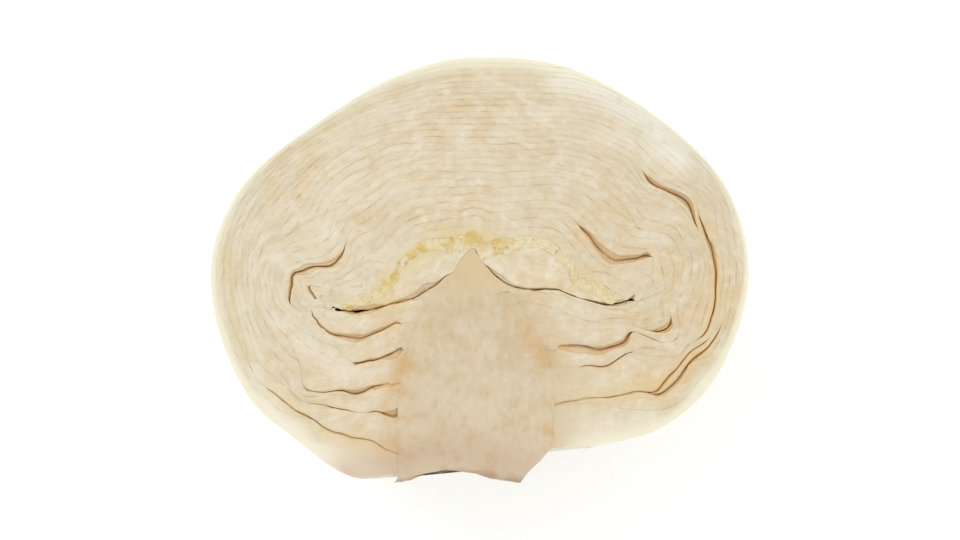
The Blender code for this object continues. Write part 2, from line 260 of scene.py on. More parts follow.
# where leaves stand apart: a path in mm from the growth axis, how wide it opens, how deep it
# goes and how brown it has gone
crevices = [
    # left half
    {"path": ((-67.0, -9.0), (-67.0, -3.5), (-64.9, 0.0), (-60.3, 3.0), (-55.0, 2.5), (-50.0, 3.2),
              (-46.5, 8.0)), "widths": (0.4, 0.5, 0.7, 2.2, 1.0, 1.4, 0.5), "depth": 2.5,
     "stain": 0.65},
    {"path": ((-59.0, -4.2), (-54.5, -8.4)), "widths": (0.8, 1.1), "depth": 2.0, "stain": 0.4},
    {"path": ((-48.5, -12.3), (-46.0, -12.5), (-43.7, -12.3), (-36.7, -12.0), (-31.4, -10.9),
              (-26.8, -9.5), (-20.8, -8.1), (-17.3, -5.6), (-13.4, -3.6), (-9.5, 0.2)),
     "widths": (0.3, 0.5, 0.9, 1.5, 0.3, 0.8, 1.2, 2.6, 0.8, 0.05), "depth": 2.2, "stain": 0.85,
     "in": "fold"},
    {"path": ((-59.6, -14.1), (-50.8, -21.9), (-43.7, -23.3), (-34.9, -21.2), (-27.8, -17.6)),
     "widths": (0.2, 0.6, 1.7, 1.1, 0.4), "depth": 2.6, "stain": 0.65},
    {"path": ((-41.9, -31.7), (-33.1, -28.9), (-27.1, -27.5)), "widths": (0.8, 0.6, 2.4),
     "depth": 3.0, "stain": 0.85},
    {"path": ((-61.3, -40.5), (-49.0, -42.3), (-43.0, -43.0), (-34.9, -40.9), (-26.1, -38.4)),
     "widths": (0.15, 0.5, 1.7, 0.9, 0.3), "depth": 2.6, "stain": 0.75},
    {"path": ((-59.6, -45.8), (-43.7, -47.9), (-33.1, -48.6), (-26.4, -48.8)),
     "widths": (0.1, 0.3, 0.4, 2.6), "depth": 3.2, "stain": 0.95},
    {"path": ((-71.9, -40.5), (-59.6, -51.1), (-52.5, -58.2), (-36.7, -60.6), (-17.3, -65.2)),
     "widths": (0.35, 0.5, 0.6, 0.4, 0.35), "depth": 2.0, "stain": 0.7},
    # right half
    {"path": ((56.8, 34.9), (60.6, 33.8), (67.3, 30.7), (74.0, 27.5), (76.1, 24.3), (80.4, 18.7)),
     "widths": (0.4, 1.3, 0.8, 2.4, 1.9, 0.4), "depth": 3.0, "stain": 0.8},
    {"path": ((79.0, 20.5), (84.2, 9.9), (85.3, 0.0), (85.0, -10.6), (80.4, -22.9)),
     "widths": (0.3, 1.3, 0.7, 0.5, 0.5), "depth": 2.6, "stain": 0.75},
    {"path": ((80.4, -22.9), (73.0, -31.7), (63.8, -38.8), (51.5, -43.4), (39.1, -43.9),
              (31.0, -44.4), (25.0, -46.0)),
     "widths": (0.4, 0.6, 0.6, 0.4, 0.4, 0.45, 0.3), "depth": 2.0, "stain": 0.8},
    {"path": ((85.0, -19.4), (79.7, -30.0), (70.9, -38.8), (63.8, -43.0)),
     "widths": (0.4, 0.6, 0.9, 0.7), "depth": 2.4, "stain": 0.8},
    {"path": ((38.4, 15.9), (44.4, 9.5), (47.9, 5.3), (56.8, 6.0), (62.0, 6.0), (64.9, 10.6)),
     "widths": (0.8, 1.4, 2.2, 1.3, 2.2, 1.9), "depth": 3.0, "stain": 0.7},
    {"path": ((4.0, 3.5), (5.6, 1.1), (9.2, -2.1), (12.7, -4.2), (19.7, -5.2), (28.6, -5.0),
              (37.0, -8.2), (46.2, -10.6), (51.2, -9.9), (55.0, -8.4)),
     "widths": (0.05, 0.9, 1.9, 0.6, 0.5, 0.3, 0.05, 0.8, 1.4, 1.6), "depth": 2.2, "stain": 0.8,
     "in": "fold"},
    {"path": ((30.3, -25.7), (35.6, -26.4), (40.9, -26.8), (47.9, -25.0), (52.2, -23.6),
              (54.3, -21.2)),
     "widths": (0.9, 2.0, 1.9, 1.1, 2.1, 1.0), "depth": 3.4, "stain": 0.85},
    {"path": ((37.4, -31.0), (44.4, -31.4), (55.0, -29.3)), "widths": (0.3, 0.5, 0.3), "depth": 2.0,
     "stain": 0.6},
    {"path": ((58.5, -19.4), (63.8, -24.7)), "widths": (0.4, 0.4), "depth": 2.0, "stain": 0.4},
    {"path": ((64.2, -19.4), (69.1, -17.6)), "widths": (1.4, 1.4), "depth": 2.4, "stain": 0.9},
]

creviceWidening = 1.3    # rounded lips make each look narrower than it opens
rows = np.concatenate([np.linspace(0.0001, 0.12, 26, endpoint=False),
                       np.linspace(0.12, 0.62, 66, endpoint=False),
                       np.linspace(0.62, 0.985, 46)])   # from core to crown


def spread(path, columns, count=40):
    # columns of values given at a path's points, read at even steps along it
    runs = np.append(0.0, np.cumsum(np.linalg.norm(np.diff(np.array(path, float), axis=0), axis=1)))
    at = np.linspace(0.0, runs[-1], count)
    return np.stack([np.interp(at, runs, column) for column in columns], -1)


def nearestJoint(crevice, path, side, taken):
    # the leaf whose outer face runs nearest to the path, and how far off it is
    best = None
    for name in [crevice["in"]] if "in" in crevice else names[:-1]:
        inner, outer = side["levels"][name]
        there = (outer - inner) * side["height"] > (0.5 if name != "fold" else -1)
        if not there.any():
            continue
        at = place(outer, rows, side["phis"])[:, :2]
        gaps = np.linalg.norm(path[:, None] - at[None], axis=-1)
        miss = np.where(there[None], gaps, 99.0).min(1).mean()
        score = miss + (1.2 if (side["phi"], name) in taken else 0.0)
        if best is None or score < best[0]:
            best = (score, name, miss)
    return best[1:]


def moveOnto(path, level, side):
    # how far, in mm, a joint moves at each row to lie on the path, how near it gets, and to
    # which step of the path
    nearest = np.full(len(rows), 99.0)
    shift = np.zeros(len(rows))
    step = np.zeros(len(rows), int)
    for mm in np.linspace(-5, 5, 81):
        at = place(level + mm / side["height"], rows, side["phis"])[:, :2]
        gaps = np.linalg.norm(path[:, None] - at[None], axis=-1)
        closest = gaps.min(0) + 0.02 * abs(mm)
        better = closest < nearest
        nearest[better] = closest[better]
        shift[better] = mm
        step[better] = gaps.argmin(0)[better]
    return shift, nearest, step


def fitCrevice(crevice, taken):
    path = spread(crevice["path"], np.transpose(crevice["path"]))
    widths = creviceWidening * spread(crevice["path"], [crevice["widths"]])[:, 0]
    phi = 0.0 if path[:, 0].mean() > 0 else math.pi
    phis = np.full_like(rows, phi)
    side = {"phi": phi, "phis": phis, "levels": stackLevels(rows, phis),
            "height": stackHeight(rows, phis)}
    name, miss = nearestJoint(crevice, path, side, taken)
    taken.append((phi, name))
    inFold = name == "fold"
    level = side["levels"][name][1]
    shift, nearest, step = moveOnto(path, level, side)
    shift = (shift + (0.03 if inFold else 0.0)) * smooth((5.0 - nearest) / 4.5)
    first = np.argmax(nearest < 1.2)
    if not inFold and rows[first] < 0.13:     # a joint that runs on into the core
        shift[:first] = shift[first]
    if inFold:                                # the turn at the fold's far end stays as it is
        turn = np.abs(place(level, rows, phis)[:, 0]).argmax()
        shift = shift * (1 - np.exp(-((rows - rows[turn]) / 0.025) ** 2))
    blur = 1 if inFold else 2
    kernel = np.ones(2 * blur + 1) / (2 * blur + 1)
    shift = np.convolve(np.pad(shift, blur, "edge"), kernel, "valid")
    # open only where the joint runs the same way as the path
    run = np.gradient(place(level + shift / side["height"], rows, phis)[:, :2], axis=0)
    way = np.gradient(path, axis=0)[step]
    same = smooth((np.abs((unit(run) * unit(way)).sum(1)) - 0.45) / 0.3)
    opening = widths[step] * smooth((1.5 - nearest) / 1.2) * same
    opening = np.convolve(np.pad(opening, 1, "edge"), (0.25, 0.5, 0.25), "valid")
    print(f"crevice by {name}: {miss:.1f} mm off, moved {np.abs(shift).max():.1f} mm")
    return {**crevice, "phi": phi, "level": level, "shift": shift, "opening": opening,
            "between": name, "reach": max(4.0, 2 * np.abs(shift).max())}


outerNames = names[-6:]                       # these carry the skin
fewColumns = [0, 0.9, 2.6, 5.5, 10, 18, 30, 47, 68]
columnSets = {"packed": np.radians(fewColumns + [90] + [180 - c for c in reversed(fewColumns)]),
              "outer": np.radians(np.concatenate([[0, 0.9], np.linspace(2.6, 177.4, 90),
                                                  [179.1, 180]]))}
cutFace = {
    "waver": 0.10,                  # mm that the knife wandered
    "leafStep": 0.05,               # mm that one leaf stands above or below the next
    "edge": 0.015,                  # mm that a leaf's lip falls away
    "rounding": (0.14, 0.45, 1.1),  # mm in from the lip, at most these shares of the thickness
    "roundingShare": (0.08, 0.2, 0.36),
    "lipFall": (0.45, 0.12, 0.0),   # how much of the lip's fall is left there
}


def gridOf(columns):
    across = len(columns)
    u = np.append(np.repeat(rows, across), 1.0)
    phi = np.append(np.tile(columns, len(rows)), math.pi / 2)
    crown = len(u) - 1
    triangles = []
    for row in range(len(rows)):
        for column in range(across - 1):
            a = row * across + column
            if row == len(rows) - 1:
                triangles.append((a, a + 1, crown))
            else:
                triangles.append((a, a + 1, a + 1 + across))
                triangles.append((a, a + 1 + across, a + across))
    onCut = np.append(np.tile((columns == columns[0]) | (columns == columns[-1]), len(rows)), True)
    return {"u": u, "phi": phi, "triangles": np.array(triangles), "onCut": onCut,
            "height": stackHeight(u, phi), "levels": stackLevels(u, phi), "relief": skinRelief(u, phi)}


def crevicePull(grid, level):
    # how far apart, in mm, the crevices hold the leaves at this level
    total = 0.0
    depth = np.abs(place(level, grid["u"], grid["phi"])[:, 2])
    for crevice in found:
        same = np.abs(level - grid["levels"][crevice["between"]][1]) < 1e-4
        side = np.abs(grid["phi"] - crevice["phi"]) < math.radians(60)
        opening = np.interp(grid["u"], rows, crevice["opening"])
        fade = np.exp(-(depth / (0.42 * crevice["depth"])) ** 2)
        total = np.maximum(total, opening * fade * same * side)
    return total


def restingGap(grid, level):
    loose = wander(300, 9.0, 210 * grid["u"], 700 * level, 50 * grid["phi"])
    return leaf["pressedGap"] + leaf["looseGap"] * smooth((loose - 0.7) / 0.8)


def creviceShift(s, u, phi, height):
    # moves the joints between leaves onto the crevice paths, in mm
    total = 0.0
    for crevice in found:
        away = (s - np.interp(u, rows, crevice["level"])) * height / crevice["reach"]
        side = smooth(1 - np.abs(phi - crevice["phi"]) / math.radians(75))
        total = total + np.interp(u, rows, crevice["shift"]) * np.exp(-away ** 2) * side
    return total


# veins of the outer leaves: heights in mm, the rest in leaf lengths
veins = {"midrib": 1.5, "midribWidth": 0.045, "side": 0.42, "sideWidth": 0.012, "spacing": 0.115,
         "pucker": 0.22}


def veinRelief(number, u, phi):
    along, across, _ = bladeOf(number, u, phi)
    width = np.maximum(veins["midribWidth"] - 0.028 * along, 0.008)
    rib = veins["midrib"] * np.exp(-(across / width) ** 2) * smooth(1.05 - along)
    reach = np.abs(across)
    bend = 0.012 * wander(70 + number, 0.25, along, across)
    count = (along - 0.85 * reach + 0.25 * reach ** 2 + bend) / veins["spacing"] \
        + np.where(across > 0, 0.0, 0.45)
    off = (count - np.round(count)) * veins["spacing"]
    side = np.exp(-(off / veins["sideWidth"]) ** 2) * smooth((0.95 - reach) / 0.7)
    pucker = np.cos(2 * math.pi * count) * wander(90 + number, 0.12, along, across)
    return rib + veins["side"] * side * smooth(reach / 0.02) - veins["pucker"] * (0.5 + pucker * 0.5)


def skinRelief(u, phi):
    # the relief of whichever outer leaf shows
    relief = np.zeros_like(u)
    for number in range(leaf["count"] - 5, leaf["count"] + 1):
        shown = smooth(leafCover(number, u, phi) / 0.08)
        relief = relief * (1 - shown) + veinRelief(number, u, phi) * shown
    point = place(1.0, u, phi)
    resting = smooth((-point[:, 2] - head["restDepth"] + 4.0) / 3.5)
    cut = smooth(-point[:, 2] / 3.0)
    return relief * (1 - resting) * (0.25 + 0.75 * cut)


def settle(s, u, phi, height, relief):
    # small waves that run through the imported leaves, the crumpled bud, and the skin's veins
    loose = 4 * np.clip(s, 0, 1) * (1 - np.clip(s, 0, 1))
    crown = smooth((1 - u) / 0.2)
    wave = leaf["wave"] * wander(11, 30.0, 210 * u, 60 * s, 60 * phi) \
        + leaf["ripple"] * wander(12, 11.0, 210 * u, 45 * s, 50 * phi)
    crumple = bud["crumple"] * wander(13, bud["crumpleSize"], 210 * u, 20 * phi) \
        * np.exp(-((s - 0.075) / 0.04) ** 2)
    heart = smooth((u - 0.62) / 0.1)
    rise = relief * smooth((s - 0.85) / 0.15)
    moved = creviceShift(s, u, phi, height) * smooth((1 - s) / 0.05)
    return s + (wave * loose * crown + crumple * heart * crown + rise + moved) / height


def recessed(point, amount):
    # lets a leaf's edge fall away from the cut face
    depth = -point[:, 2]
    depth = depth + amount * np.exp(-depth / np.maximum(1.5 * amount, 1e-6))
    return np.stack([point[:, 0], point[:, 1], -depth], -1)


def leafSheet(name, grid):
    inside, outside = grid["levels"][name]
    u, phi, height = grid["u"], grid["phi"], grid["height"]
    gaps = [restingGap(grid, level) + crevicePull(grid, level) for level in (inside, outside)]
    inner = inside + gaps[0] / 2 / height
    outer = outside - gaps[1] / 2 / height * (0.0 if name == names[-1] else 1.0)
    faces = []
    for level, apart in ((inner, gaps[0]), (outer, gaps[1])):
        point = place(settle(level, u, phi, height, grid["relief"]), u, phi)
        faces.append(recessed(point, cutFace["edge"] + 0.5 * np.clip(apart, 0, 1.6)))
    return {"order": names.index(name), "inner": faces[0], "outer": faces[1],
            "innerLevel": inner, "outerLevel": outer, "amount": (outer - inner) * height - leaf["edge"]}


def clipped(triangle, amount):
    # the part of a triangle where the leaf has thickness
    polygon = []
    for here, after in zip(triangle, triangle[1:] + triangle[:1]):
        if amount[here] > 0:
            polygon.append((here, here))
        if (amount[here] > 0) != (amount[after] > 0):
            polygon.append((min(here, after), max(here, after)))
    return polygon


def largestPatch(polygons):
    # leaves out scraps that don't join the rest of the leaf
    parent = {}

    def root(key):
        while parent[key] != key:
            parent[key] = parent[parent[key]]
            key = parent[key]
        return key

    for polygon in polygons:
        for key in polygon:
            parent.setdefault(key, key)
        first = root(polygon[0])
        for key in polygon[1:]:
            parent[root(key)] = first
    counts = {}
    for polygon in polygons:
        key = root(polygon[0])
        counts[key] = counts.get(key, 0) + 1
    most = max(counts, key=counts.get)
    return [polygon for polygon in polygons if root(polygon[0]) == most]


def leafMesh(sheet, grid):
    amount = sheet["amount"].tolist()
    triangles = grid["triangles"]
    live = (sheet["amount"][triangles] > 0).any(1)
    polygons = largestPatch([clipped(tuple(t), amount) for t in triangles[live].tolist()])
    vertices, facts, chains, faces, cutFaces = [], [], {}, [], []
    step = np.random.default_rng(40 + sheet["order"]).uniform(-1, 1) * cutFace["leafStep"]
    lipFall = [1.0, *cutFace["lipFall"], 0.0, *reversed(cutFace["lipFall"]), 1.0]

    def mixed(values, key, share):
        return values[key[0]] + (values[key[1]] - values[key[0]]) * share

    def chain(key):
        # the vertices through the leaf's thickness at this place, outside to inside
        if key in chains:
            return chains[key]
        here, other = key
        share = 0.0
        if here != other:
            share = amount[here] / (amount[here] - amount[other])
            share = min(max(share, 0.05), 0.95)
        outer, inner = mixed(sheet["outer"], key, share), mixed(sheet["inner"], key, share)
        outerLevel = mixed(sheet["outerLevel"], key, share)
        innerLevel = mixed(sheet["innerLevel"], key, share)
        u, phi = mixed(grid["u"], key, share), mixed(grid["phi"], key, share)
        thick = float(np.linalg.norm(outer - inner))
        cut = grid["onCut"][here] and grid["onCut"][other]
        steps = [0.0, 1.0]
        if cut:
            near = [min(mm / max(thick, 1e-3), most)
                    for mm, most in zip(cutFace["rounding"], cutFace["roundingShare"])]
            steps = [0.0, *near, 0.5, *[1 - n for n in reversed(near)], 1.0]
        ids = []
        for k, t in enumerate(steps):
            point = outer + (inner - outer) * t
            if 0 < k < len(steps) - 1:
                lip = outer[2] if k < 4 else inner[2]
                point[2] = lip * lipFall[k] + (1 - lipFall[k]) * step * min(u / 0.06, 1.0)
            ids.append(len(vertices))
            vertices.append(point)
            rim = min(t, 1 - t) * thick if cut else 0.0
            facts.append((u, phi, outerLevel + (innerLevel - outerLevel) * t, rim, float(cut)))
        chains[key] = ids
        return ids

    edges = set()
    for polygon in polygons:
        outside = [chain(key)[0] for key in polygon]
        inside = [chain(key)[-1] for key in reversed(polygon)]
        faces += [outside, inside]
        edges.update(zip(polygon, polygon[1:] + polygon[:1]))
    for start, end in sorted(edges):
        if (end, start) in edges:
            continue
        a, b = chain(start), chain(end)
        if len(a) == len(b):
            strip = [[b[k], a[k], a[k + 1], b[k + 1]] for k in range(len(a) - 1)]
        else:
            strip = [a + b[::-1]]
        (cutFaces if len(a) == len(b) == 9 else faces).extend(strip)
    return np.array(vertices), np.array(facts), faces, cutFaces


print("finding the crevices")
takenJoints = []
found = [fitCrevice(crevice, takenJoints) for crevice in crevices]
grids = {kind: gridOf(columns) for kind, columns in columnSets.items()}
restMiddle = place(1.0, 0.5, math.pi / 2)[1]


def toWorld(points):
    return (np.asarray(points) - (0.0, restMiddle, -cadHigh[2])) / 1000


# what the materials read, painted on the pieces in mm from the growth axis: a path, how far the
# tint reaches from it and how strong it is
butterPaths = [
    (((-33, -7), (-29, 1), (-20, 8), (-7, 14), (5, 13.5), (11, 9)), 3.4, 1.0),
    (((-44, -12), (-27, -9)), 2.2, 0.8),
    (((32, -2), (44, -6), (38, 0)), 4.5, 0.3),
    (((85, 5), (85, -8), (80, -25), (68, -38), (50, -42.5), (28, -43.5)), 3.6, 0.6),
    (((-73, -38), (-60, -51), (-52, -57), (-36, -60), (-18, -61)), 3.0, 0.5),
    (((-62, 40), (-35, 66), (-10, 74), (20, 73), (38, 66)), 3.5, 0.35),
    (((76, 25), (82, 12)), 4.0, 0.5),
    (((-88, 8), (-87, -12), (-80, -30)), 3.5, 0.4),
    (((-8, 16), (4, 15.5)), 3.0, 0.6),
]
# whitish patches on the cut face: partly paler flesh, partly a painted highlight on the upper right
paleAndHighlightPaths = [
    (((30, 70), (45, 66), (60, 55), (72, 42)), 7.0, 1.0),
    (((24, 58), (30, 57)), 3.5, 0.9),
    (((48, 48), (58, 50)), 5.0, 0.5),
    (((-42, -66), (-62, -55), (-80, -35)), 5.0, 0.5),
    (((62, -50), (45, -54), (32, -53)), 4.5, 0.7),
    (((-60, -26), (-45, -33), (-32, -35)), 4.0, 0.35),
    (((-50, -50), (-35, -45)), 2.5, 0.3),
]
footPaths = [(((-44, -69), (-26, -66), (-8, -62), (12, -66), (18, -68)), 7.0, 1.0)]


def nearPaths(paths, x, y):
    total = np.zeros(len(x))
    points = np.stack([x, y], -1)
    for path, reach, strength in paths:
        gap = np.full(len(x), 99.0)
        for spot in spread(path, np.transpose(path), 30):
            gap = np.minimum(gap, np.linalg.norm(points - spot, axis=1))
        total = np.maximum(total, strength * np.exp(-(gap / reach) ** 2))
    return total


def flankTint(x, y):
    # the browner ground where leaf bases meet the core
    at = np.clip((-8.0 - y) / 56.0, 0, 1)
    edge = place(at, np.zeros_like(at), np.where(x > 0, 0.0, math.pi))
    off = np.abs(x) - np.abs(edge[:, 0])
    return np.exp(-((off + 0.5) / 4.5) ** 2) * smooth((-y - 8) / 15) * smooth((y + 66) / 8)


def stainOf(u, phi, level, height, depth):
    # browned where the crevices open, and on their lips
    side = np.where(phi < math.pi / 2, 0.0, math.pi)
    stain = np.zeros(len(u))
    for crevice in found:
        off = (level - np.interp(u, rows, crevice["level"])) * height
        lip = 0.6 if crevice["between"] == "fold" else 1.1
        reach = np.exp(-(off / lip) ** 2) * np.exp(-depth / 14.0)
        wide = smooth(np.interp(u, rows, crevice["opening"]))
        stain = np.maximum(stain, crevice["stain"] * wide * reach * (side == crevice["phi"]))
    return stain


def leafTints(facts, points):
    u, phi, level, rim, cut = facts.T
    x, y = points[:, 0], points[:, 1]
    height = stackHeight(u, phi)
    along = np.where(phi < math.pi / 2, u, 2 - u)      # runs on over the crown
    return {"sheet": np.stack([210 * along, height * level, 80 * np.sin(phi) * (1 - cut)], -1) / 1000,
            "level": level, "rim": rim, "cut": cut, "warmth": 0.5 + 0.35 * np.tanh(x / 45.0),
            "stain": stainOf(u, phi, level, height, np.maximum(-points[:, 2], 0.0)),
            "pith": 0.95 * np.exp(-(u / 0.045) ** 1.5) * (y < -6), "flank": flankTint(x, y),
            "butter": nearPaths(butterPaths, x, y), "paleAndHighlight": nearPaths(paleAndHighlightPaths, x, y),
            "foot": nearPaths(footPaths, x, y)}


def skinTints(number, u, phi):
    along, across, _ = bladeOf(number, u, phi)
    return {"blade": np.stack([across, along, 0 * along], -1) * 0.14,    # leaves 140 mm long
            "vein": smooth((veinRelief(number, u, phi) - 0.02) / 0.5),
            "baseWhite": np.exp(-(along / 0.32) ** 2)}


def addPiece(name, node, points, faces, materials, tints, cutFaces=()):
    # the second material, where there is one, is for the cut faces
    mesh = bpy.data.meshes.new(name)
    mesh.from_pydata([tuple(p) for p in toWorld(points).tolist()], [], [*faces, *cutFaces])
    for material in materials:
        mesh.materials.append(material)
    if len(materials) > 1:
        mesh.polygons.foreach_set("material_index", [0] * len(faces) + [1] * len(cutFaces))
    mesh.shade_smooth()
    mesh.set_sharp_from_angle(angle=math.radians(50))
    for key, values in tints.items():
        vector = np.ndim(values) == 2
        layer = mesh.attributes.new(key, "FLOAT_VECTOR" if vector else "FLOAT", "POINT")
        layer.data.foreach_set("vector" if vector else "value", np.asarray(values, np.float32).ravel())
    piece = bpy.data.objects.new(name, mesh)
    bpy.context.scene.collection.objects.link(piece)
    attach(piece, "root")
    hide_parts(node)
    print(name, len(mesh.polygons), "faces")


def linear(hexColour):
    parts = [int(hexColour[i:i + 2], 16) / 255 for i in (1, 3, 5)]
    return [p / 12.92 if p <= 0.04045 else ((p + 0.055) / 1.055) ** 2.4 for p in parts] + [1.0]


def addNode(tree, kind, settings=None, links=None, output=0):
    # adds a node, sets it and links it, and gives the output that is asked for
    node = tree.nodes.new(kind)
    for key, value in (settings or {}).items():
        setattr(node, key, value)
    for key, value in (links or {}).items():
        if isinstance(value, bpy.types.NodeSocket):
            tree.links.new(value, node.inputs[key])
        else:
            node.inputs[key].default_value = value
    return node.outputs[output]


def newMaterial(name):
    material = bpy.data.materials.new(name)
    material.use_nodes = True
    return material, material.node_tree


def perMetre(size):
    # the scale of a pattern whose marks are this size in mm, one size or one for each way
    return (1000 / (np.ones(3) * size)).tolist()


def tinted(tree, colour, coats):
    # lays coats of colour one over the other: the masks that say where, how strong, and the tint.
    # A mask is an output, or an output with the values where the coat begins and where it is full.
    colour = linear(colour)
    for masks, strength, tint in coats:
        amount = strength
        for mask in masks:
            if isinstance(mask, tuple):
                pattern, start, full = mask
                mask = addNode(tree, "ShaderNodeMapRange", {"interpolation_type": "SMOOTHSTEP"},
                               {"Value": pattern, "From Min": start, "From Max": full})
            amount = addNode(tree, "ShaderNodeMath", {"operation": "MULTIPLY"}, {0: mask, 1: amount})
        tint = linear(tint) if isinstance(tint, str) else tint
        colour = addNode(tree, "ShaderNodeMix", {"data_type": "RGBA"},
                         {0: amount, 6: colour, 7: tint}, 2)
    return colour


def finishSurface(tree, colour, reliefs, values):
    # reliefs are patterns with a strength and a height in mm, coarse to fine
    shader = tree.nodes["Principled BSDF"]
    normal = {}
    for pattern, strength, height in reliefs:
        links = {"Height": pattern, "Strength": strength, "Distance": height / 1000, **normal}
        normal = {"Normal": addNode(tree, "ShaderNodeBump", {}, links)}
    for key, value in {"Base Color": colour, **normal, **values}.items():
        if isinstance(value, bpy.types.NodeSocket):
            tree.links.new(value, shader.inputs[key])
        else:
            shader.inputs[key].default_value = value


def fleshMaterial(name, tints):
    # White cabbage leaf, sliced through with a knife. The cells are wet and full of water, so it
    # looks cream and soft, a little see-through at its lips, streaked along the layers, with a
    # low broken sheen, and whitish patches that are partly a painted highlight.
    material, tree = newMaterial(name)
    paint = {key: addNode(tree, "ShaderNodeAttribute", {"attribute_name": key}, {}, "Fac")
             for key in ("warmth", "rim", "cut", "butter", "paleAndHighlight", "level", "pith", "foot",
                         "flank", "stain")}
    sheet = addNode(tree, "ShaderNodeAttribute", {"attribute_name": "sheet"}, {}, "Vector")
    whole = addNode(tree, "ShaderNodeTexCoord", {}, {}, "Object")
    noise = {}
    for key, space, size, detail, roughness in (
            ("streaks", sheet, (5.263, 1.111, 25.0), 4.0, 0.5),    # fibres along a layer
            ("dashes", sheet, (6.667, 1.4286, 33.33), 2.0, 0.5),   # broken joints between layers
            ("mottle", sheet, (5.882, 3.03, 16.67), 5.0, 0.6),
            ("bands", sheet, (45.45, 3.333, 111.1), 3.0, 0.5),     # one layer darker than the next
            ("clouds", whole, 16.667, 6.0, 0.65),
            ("blotch", whole, 5.882, 5.0, 0.62),
            ("cells", whole, 0.769, 2.0, 0.5)):                    # coarser than real cells, to show
        spot = addNode(tree, "ShaderNodeMapping", {}, {"Vector": space, "Scale": perMetre(size)})
        noise[key] = addNode(tree, "ShaderNodeTexNoise", {}, {"Vector": spot, "Scale": 1.0,
                                                             "Detail": detail, "Roughness": roughness})
    pith = tinted(tree, "#c1b197", [([(noise["clouds"], 0.40, 0.62)], 1.0, "#b8a788")])
    colour = tinted(tree, tints["pale"], [
        ([paint["warmth"]], 1.0, tints["warm"]),
        ([(noise["bands"], 0.42, 0.66)], 0.6, tints["cloud"]),
        ([(noise["clouds"], 0.45, 0.66)], 0.6, tints["blush"]),
        ([(noise["streaks"], 0.5, 0.72)], 0.35, tints["streak"]),
        ([(noise["mottle"], 0.46, 0.72)], 0.5, tints["white"]),
        ([(noise["blotch"], 0.5, 0.7)], 0.35, tints["streak"]),
        ([(noise["blotch"], 0.47, 0.3)], 0.5, tints["white"]),
        ([(paint["rim"], 0.6, 0.0), (noise["dashes"], 0.46, 0.7), paint["cut"],
          (noise["clouds"], 0.46, 0.6)], 0.5, tints["dash"]),      # short dark joints
        ([paint["butter"], (noise["mottle"], 0.3, 0.6)], 0.8, "#c7b37d"),
        # whitish patches: partly paler flesh, partly a painted highlight on the upper right
        ([paint["paleAndHighlight"], (noise["clouds"], 0.32, 0.56)], 0.85, "#d7d2c3"),
        ([(paint["level"], 0.89, 0.98)], 0.8, tints["rind"]),
        ([paint["pith"]], 1.0, pith),                              # bases turn into stem
        ([paint["foot"]], 0.75, "#b59f87"),
        ([paint["flank"]], 0.5, "#c1b091"),
        ([paint["flank"], (noise["clouds"], 0.46, 0.62)], 0.75, "#bb9664"),
        ([paint["stain"], (noise["mottle"], 0.1, 0.5)], 0.9, "#cfa468")])
    rough = addNode(tree, "ShaderNodeMapRange", {}, {"Value": noise["mottle"], "To Min": 0.36,
                                                     "To Max": 0.6})
    reliefs = ((noise["clouds"], 0.45, 1.2), (noise["streaks"], 0.35, 0.6), (noise["cells"], 0.25, 0.2))
    finishSurface(tree, colour, reliefs, {
        "Roughness": rough, "IOR": 1.38,                           # wet plant tissue
        "Subsurface Weight": 0.25, "Subsurface Radius": (1.0, 0.72, 0.4), "Subsurface Scale": 0.0022})
    return material


def crumpledBudMaterial(name):
    # Unopened bud leaves, folded up by growth and sliced through. They are thin and never saw
    # light, so they look soft and butter yellow, creased every 2 mm with painted shade along the
    # creases, and speckled with painted shadow.
    material, tree = newMaterial(name)
    yellow = addNode(tree, "ShaderNodeAttribute", {"attribute_name": "butter"}, {}, "Fac")
    whole = addNode(tree, "ShaderNodeTexCoord", {}, {}, "Object")
    noise = {}
    for key, size, detail, roughness, output in (
            ("bend", 3.846, 3.0, 0.5, 1),
            ("clouds", 6.667, 4.0, 0.65, 0),
            ("specks", 2.632, 3.0, 0.5, 0)):
        spot = addNode(tree, "ShaderNodeMapping", {}, {"Vector": whole, "Scale": perMetre(size)})
        noise[key] = addNode(tree, "ShaderNodeTexNoise", {}, {"Vector": spot, "Scale": 1.0,
                                                             "Detail": detail,
                                                             "Roughness": roughness}, output)
    bent = addNode(tree, "ShaderNodeVectorMath", {"operation": "MULTIPLY_ADD"},
                   {0: noise["bend"], 1: (0.004, 0.004, 0.004), 2: whole})     # by up to 4 mm
    folds = addNode(tree, "ShaderNodeTexVoronoi", {"feature": "DISTANCE_TO_EDGE"},
                    {"Vector": bent, "Scale": 1000 / 1.923})
    crests = addNode(tree, "ShaderNodeMapRange", {"interpolation_type": "SMOOTHSTEP"},
                     {"Value": folds, "From Min": 0.0, "From Max": 0.3})
    colour = tinted(tree, "#cfc2a0", [
        ([yellow, (noise["clouds"], 0.66, 0.44)], 1.0, "#c3a758"),
        # painted shade darkens the creases
        ([(folds, 0.10, 0.0), (noise["clouds"], 0.6, 0.4)], 0.35, "#a27d42"),
        # painted specks of shadow
        ([(noise["specks"], 0.58, 0.72)], 0.6, "#a78348")])
    finishSurface(tree, colour, ((crests, 0.35, 0.8), (noise["specks"], 0.7, 1.2)), {
        "Roughness": 0.45, "IOR": 1.38,
        "Subsurface Weight": 0.25, "Subsurface Radius": (1.0, 0.7, 0.3), "Subsurface Scale": 0.0018})
    return material


